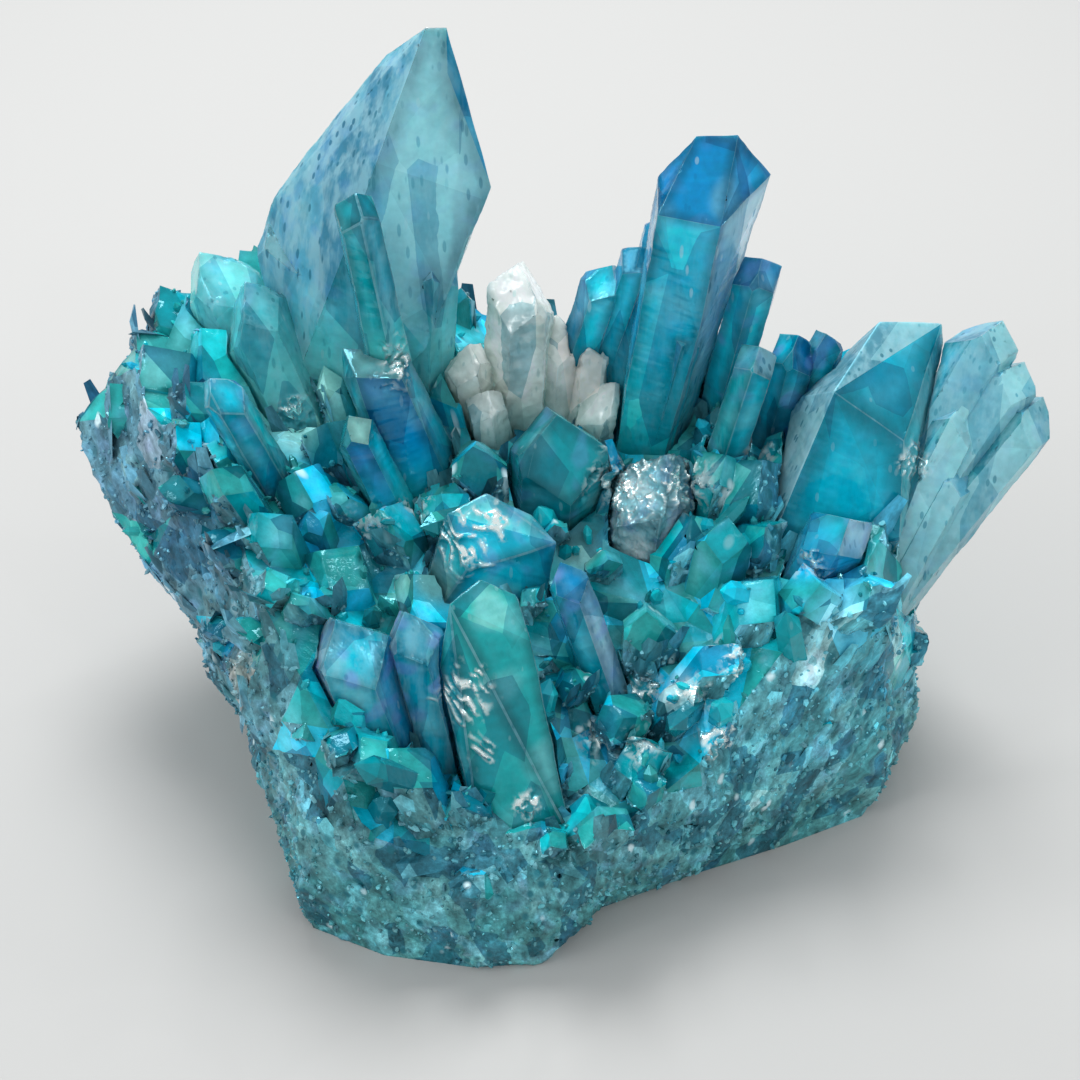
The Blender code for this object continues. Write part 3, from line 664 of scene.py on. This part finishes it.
dress(
    "slab_crystal", longest=0.45,
    sides={"left": (FROST_TEAL, 0.6), "front": (SEA, 0.03), "right": (AQUA, 0.4), "top": (FROST_TEAL, 0.8), "back": (TEAL, 0.4)},
    marks=dict(pits=0.06), coat=dict(cloudy=0.15, film=0.05, rim_width=3.0),
)
dress(
    "fan_crystals", longest=0.45,
    sides={"left": (AQUA, 0.5), "front": (PALE_AQUA, 0.55), "right": (PALE_AQUA, 0.6), "top": (SLATE, 0.7), "back": (AQUA, 0.5)},
    clear=0.4, marks=dict(pits=0.13, lines=0.06), coat=dict(cloudy=0.5, film=0.15),
)
dress(
    "milky_crystals", longest=0.4,
    sides={"front": (MILK, 0.25)}, absorb=(0.7, 0.95, 0.95), density=5, shine=(1, 1, 1), speck=0.1,
    frosting=(0.88, 0.95, 0.92), clear=0.15, polish=0.15, streaks=0.4, glow=0.8, reach=(1, 1, 1), marks=dict(rough=0.18),
    coat=dict(cloud=(0.95, 1.0, 0.98), film=0.0, deepen=0.2, low=(32, 40, (0.3, 0.62, 0.58))),
)
dress(
    "dark_centre_crystal", longest=0.4,
    sides={"left": (DARK_TEAL, 0.05), "front": ((0.0, 0.44, 0.5), 0.03), "right": (DARK_TEAL, 0.1), "top": (SLATE, 0.3), "back": (TEAL, 0.2)},
    coat=dict(film=0.2, deepen=0.5),
)
dress(
    "silver_crystal", longest=0.3,
    sides={"front": (FROST_TEAL, 0.2), "top": (SILVER, 0.1)}, coat=dict(cloudy=0.8, cloud=SILVER), marks=dict(rough=0.35, lines=0.0),
)
dress(
    "capped_crystal", longest=0.34,
    sides={"left": (TEAL, 0.2), "front": (DEEP_BLUE, 0.03), "right": (SEA, 0.1), "top": (TURQUOISE, 0.1), "back": (TEAL, 0.2)},
    coat=dict(low=(30, 40, TEAL), film=0.15),
)
dress(
    "striped_crystal", longest=0.34,
    sides={"left": (TEAL, 0.1), "front": (SEA, 0.05), "right": (CLEAR_BLUE, 0.1), "top": (AQUA, 0.2), "back": (TEAL, 0.2)},
    coat=dict(film=0.25),
)
dress(
    "iridescent_prism", longest=0.35,
    sides={"left": (CYAN, 0.05), "front": (SEA, 0.03), "right": (LILAC, 0.2), "top": (DEEP_BLUE, 0.1), "back": (TEAL, 0.2)},
    coat=dict(film=0.45, low=(14, 24, GREEN_TEAL)),
)
dress(
    "green_crystal", longest=0.36,
    sides={"left": (TEAL, 0.1), "front": (GREEN_TEAL, 0.03), "right": (DARK_TEAL, 0.1), "top": (GREEN_TEAL, 0.05), "back": (TEAL, 0.2)},
    coat=dict(film=0.0),
)
dress(
    "lavender_crystals", longest=0.38,
    sides={"left": (LILAC, 0.5), "front": (SEA, 0.3), "right": (CLEAR_BLUE, 0.2), "top": (CLEAR_BLUE, 0.3), "back": (TEAL, 0.2)},
    coat=dict(film=0.5, cloudy=0.5),
)
dress(
    "left_rim_crystal", longest=0.4,
    sides={"left": (SEA, 0.2), "front": (SEA, 0.1), "right": (TEAL, 0.3), "top": (DEEP_BLUE, 0.1), "back": (TEAL, 0.2)},
    coat=dict(film=0.2),
)
dress(
    "glowing_crystal", longest=0.38,
    sides={"left": (CYAN, 0.05), "front": (CLEAR_BLUE, 0.1), "right": (LILAC, 0.5), "top": (CLEAR_BLUE, 0.05), "back": (TEAL, 0.2)},
    coat=dict(film=0.3),
)

# %% [markdown]
# ## The rock
#
# The rock is one solid: a bed of fused crystals inside, and broken walls outside. A ray that leaves
# a facet outwards tells them apart: it gets away from a wall and runs into something on the bed.
# The bed keeps its crisp facets and gets a tint for each. The walls are divided finely, and pits and
# long steps that follow the fan are pressed into them.

# %% Bed and walls
BED_TEAL = (0.02, 0.38, 0.37)
BED_TINTS = [BED_TEAL, GREEN_TEAL, TEAL, BED_TEAL, DARK_TEAL, BED_TEAL, SEA, BED_TEAL, TEAL, DARK_TEAL]
WALL_GREY = np.array((0.09, 0.25, 0.28))
WALL_BLUE = np.array((0.09, 0.22, 0.29))
WALL_PALE = np.array((0.13, 0.44, 0.5))
WALL_FOOT = np.array((0.08, 0.3, 0.31))
NOTCH = Vector((-31, -15.5, 23.5))


def wall_tint(p):
    """The walls are bluer on the lobe, paler on the right, greener at the foot, brown in the notch."""
    colour = WALL_GREY + (WALL_PALE - WALL_GREY) * min(1, max(0, p.x / 20))
    if p.x < -28:
        colour = colour + (WALL_BLUE - colour) * min(1, (-28 - p.x) / 10)
    colour = colour + (WALL_FOOT - colour) * min(1, max(0, (20 - p.z) / 16))
    near = (p - NOTCH).length
    if near < 4:
        colour = colour + (np.array((0.35, 0.3, 0.24)) - colour) * (1 - near / 4)
    return colour * (1 + 0.5 * noise.noise(p * 0.25))


def mark_walls(bm):
    """Tints the bed and the walls, and sets the frost of the walls to one."""
    tint = bm.faces.layers.float_color.new("tint")
    tree = BVHTree.FromBMesh(bm)
    rng = random.Random(5)
    walls = 0
    for face in bm.faces:
        middle = face.calc_center_median()
        out = Vector((middle.x, middle.y + 2 * MM, 0)).normalized()
        out.z = 0.12
        free = tree.ray_cast(middle + face.normal * 0.2 * MM + out * 0.2 * MM, out)[0] is None
        through = tree.ray_cast(middle - face.normal * 0.05 * MM, -face.normal)[3] or 1.0
        outwards = free and face.normal.dot(out) > 0.3 and face.normal.z < 0.65
        low = middle.z < 14 * MM and face.normal.dot(out) > 0
        wall = face.normal.z < -0.05 or low or (outwards and through > 5.5 * MM)
        walls += wall
        at = middle / MM
        if wall:
            face[tint] = (*wall_tint(at), 1)
            continue
        pick = noise.noise(at * 0.11 + Vector((4, 4, 4))) * 0.5 + 0.5 + rng.uniform(-0.12, 0.12)
        colour = BED_TINTS[int(min(0.999, max(0.0, pick)) * len(BED_TINTS))]
        level = rng.uniform(0.8, 1.08)
        face[tint] = (*[c * level for c in colour], 0)
    print("walls", walls, "of", len(bm.faces), "facets")


def rock_height(p, n, v):
    """Height in mm of the rock's broken walls. The bed's facets only wave a little."""
    if p.z < 0.15:
        return 0.0
    wall = sum(f[wall_layer][3] for f in v.link_faces) / len(v.link_faces)
    h = 0.05 * noise.noise(p * 0.5)
    if wall > 0.1:
        q = fan_point(p)
        ridge = 1 - 2 * abs(noise.noise(q * 0.7 + Vector((2, 9, 4))))
        fine = 1 - 2 * abs(noise.noise(q * 1.9 + Vector((7, 1, 3))))
        h += wall * (0.34 * ridge + 0.2 * fine + 0.3 * noise.noise(p * 0.8) - 0.3)
    return h


bm = solid_copy("matrix")
mark_walls(bm)
edges = edge_tree(bm, math.radians(25))
# the worn edges get a painted highlight
paint_edge_highlight(bm, worn_edges(bm, 0.09 * MM, math.radians(25)), 0.12)
bmesh.ops.remove_doubles(bm, verts=bm.verts, dist=2e-6)
wall_layer = bm.faces.layers.float_color["tint"]


def rock_longest(edge):
    """Walls are divided finely, the bed's facets less, and the flat underside hardly."""
    if max(v.co.z for v in edge.verts) < 0.1 * MM:
        return 4 * MM
    wall = any(f[wall_layer][3] > 0.9 for f in edge.link_faces)
    return (0.85 if wall else 1.5) * MM


divide(bm, rock_longest)
points = finish_points(bm, rock_height, edges, 3.1)
mesh = bpy.data.meshes.new("matrix_rock")
bm.to_mesh(mesh)
lay_paint(mesh, points, rim_width=1.0, deepen=0.2, cloudy=0.22, film=0.1)
wall_finish = rock_finish("rock_finish")
rock = show("matrix_rock", mesh, wall_finish, 28)
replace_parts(rock, "matrix")

# %% [markdown]
# ## Small crystals, flakes and grains
#
# Between the large crystals the bed bristles with small sharp ones, and the walls carry long thin
# flakes and grains. Each kind is one joined mesh: one simple shape is made with operators, and
# copies of it are turned, scaled and set on spots of the rock's surface chosen at random.

# %% Shapes
def as_arrays(bm):
    bmesh.ops.recalc_face_normals(bm, faces=bm.faces)
    bmesh.ops.triangulate(bm, faces=bm.faces)
    bm.verts.index_update()
    verts = np.array([v.co for v in bm.verts])
    faces = np.array([[v.index for v in f.verts] for f in bm.faces])
    bm.free()
    return verts, faces


def point_shape():
    """A six-sided prism of radius one and height two that ends in a point."""
    bm = bmesh.new()
    bmesh.ops.create_cone(
        bm, cap_ends=True, segments=6, radius1=1.0, radius2=0.9, depth=2,
        matrix=Matrix.Translation((0, 0, 0.4)),
    )
    top = max(bm.faces, key=lambda f: f.calc_center_median().z)
    bmesh.ops.poke(bm, faces=[top], offset=0.9)
    return as_arrays(bm)


def flake_shape():
    """A low six-sided pyramid whose tip sits off the middle, with its flat side down."""
    bm = bmesh.new()
    bmesh.ops.create_cone(bm, cap_ends=True, segments=6, radius1=1.0, radius2=0.0, depth=1)
    bmesh.ops.remove_doubles(bm, verts=bm.verts, dist=1e-6)
    tip = max(bm.verts, key=lambda v: v.co.z)
    bmesh.ops.translate(bm, verts=[tip], vec=(0.45, 0.1, 0))
    return as_arrays(bm)


# %% Spots on the rock
spots = {"bed": [], "wall": []}
for face in bm.faces:
    middle = face.calc_center_median()
    if face[wall_layer][3] > 0.9 and middle.z > 0.6 * MM:
        spots["wall"].append((face.calc_area(), middle, face.normal.copy()))
    elif face[wall_layer][3] < 0.1 and face.normal.z > 0.25:
        spots["bed"].append((face.calc_area(), middle, face.normal.copy()))
bm.free()
print("spots", {kind: len(rows) for kind, rows in spots.items()})

# %% Scatter
BOX = np.array(cad_box)


def scatter(name, shape, kind, count, sizes, place, tinted, frost, mat, seed, keep=None):
    """Sets copies of a shape on the bed or the walls and joins them in one mesh."""
    rng = random.Random(seed)
    verts, faces = shape
    rows = [row for row in spots[kind] if keep is None or keep(row[1] / MM)]
    weights = [row[0] for row in rows]
    all_verts = []
    all_paint = []
    for area, spot, normal in rng.choices(rows, weights=weights, k=count):
        size = rng.uniform(0, 1) ** 2 * (sizes[1] - sizes[0]) + sizes[0]
        scale, turn, shift = place(rng, spot, normal, size)
        all_verts.append((verts * scale) @ np.array(turn).T + np.array(spot) / MM + np.array(shift))
        level = rng.uniform(0.75, 1.35)
        all_paint.append(np.tile((*[c * level for c in tinted(rng, spot / MM)], frost), (len(faces), 1)))
    all_faces = faces[None] + np.arange(count)[:, None, None] * len(verts)
    co = np.clip(np.concatenate(all_verts) * MM, BOX[0] + 0.00002, BOX[1] - 0.00002)
    mesh = bpy.data.meshes.new(name)
    mesh.from_pydata(co.tolist(), [], all_faces.reshape(-1, 3).tolist())
    mesh.attributes.new("paint", "FLOAT_COLOR", "FACE").data.foreach_set("color", np.concatenate(all_paint).ravel())
    return show(name, mesh, mat, None)


def wild(rng):
    return Vector((rng.gauss(0, 1), rng.gauss(0, 1), rng.gauss(0, 1)))


def standing(lean, slim, tall, sink=0.3):
    """Points that stand on the surface and lean every way."""
    def place(rng, spot, normal, size):
        aim = (normal + Vector((0, 0, 0.3)) + wild(rng) * lean).normalized()
        turn = aim.to_track_quat("Z", "Y").to_matrix() @ Matrix.Rotation(rng.uniform(0, 6.3), 3, "Z")
        scale = (size / 2, size / 2 * rng.uniform(*slim), size / 2 * rng.uniform(*tall))
        return scale, turn, -aim * size * sink
    return place


def lying(rng, spot, normal, size):
    """Flakes that lie along the fan, with their upper end lifted a little."""
    fan = (spot - FAN_ROOT).normalized() + wild(rng) * 0.1
    along = (fan - normal * fan.dot(normal)).normalized()
    normal = (normal - along * rng.uniform(0.0, 0.14) + wild(rng) * 0.05).normalized()
    across = normal.cross(along).normalized()
    along = across.cross(normal)
    turn = Matrix((along, across, normal)).transposed()
    scale = (size / 2, size * rng.uniform(0.1, 0.2), size * rng.uniform(0.03, 0.07) + 0.15)
    return scale, turn, -normal * 0.05


def bed_tint(rng, at):
    pick = noise.noise(at * 0.11 + Vector((4, 4, 4))) * 0.5 + 0.5 + rng.uniform(-0.22, 0.22)
    return BED_TINTS[int(min(0.999, max(0.0, pick)) * len(BED_TINTS))]


def flake_tint(rng, at):
    return wall_tint(at) * rng.choice((0.6, 1.0, 1.0, 1.35)) * (0.9, 1.0, 1.05)


POINT = point_shape()
FLAKE = flake_shape()
shard_finish = crystal_finish("shard_finish", clear=0.3, speck=0.2, seed=8.2, glow=0.0)
grain_finish = crystal_finish("grain_finish", clear=0.0, speck=0.0, polish=0.12, seed=9.3, glow=0.0)
scatter(
    "bed_shards", POINT, "bed", 60, (1.4, 4.0), standing(0.3, (0.6, 1.0), (0.9, 1.6)), bed_tint, 0.05,
    shard_finish, 31,
)
scatter(
    "bed_points", POINT, "bed", 260, (0.4, 1.1), standing(0.45, (0.6, 1.0), (0.9, 1.6)), bed_tint, 0.1,
    shard_finish, 32,
)
scatter("wall_flakes", FLAKE, "wall", 1500, (1.5, 9.0), lying, flake_tint, 0.8, wall_finish, 33, lambda p: p.z > 12)
scatter("foot_flakes", FLAKE, "wall", 1500, (0.8, 3.0), lying, flake_tint, 0.8, wall_finish, 35)
scatter(
    "wall_grains", POINT, "wall", 7000, (0.25, 0.75), standing(0.6, (0.5, 1.0), (0.7, 1.2)), flake_tint, 0.3,
    grain_finish, 34,
)
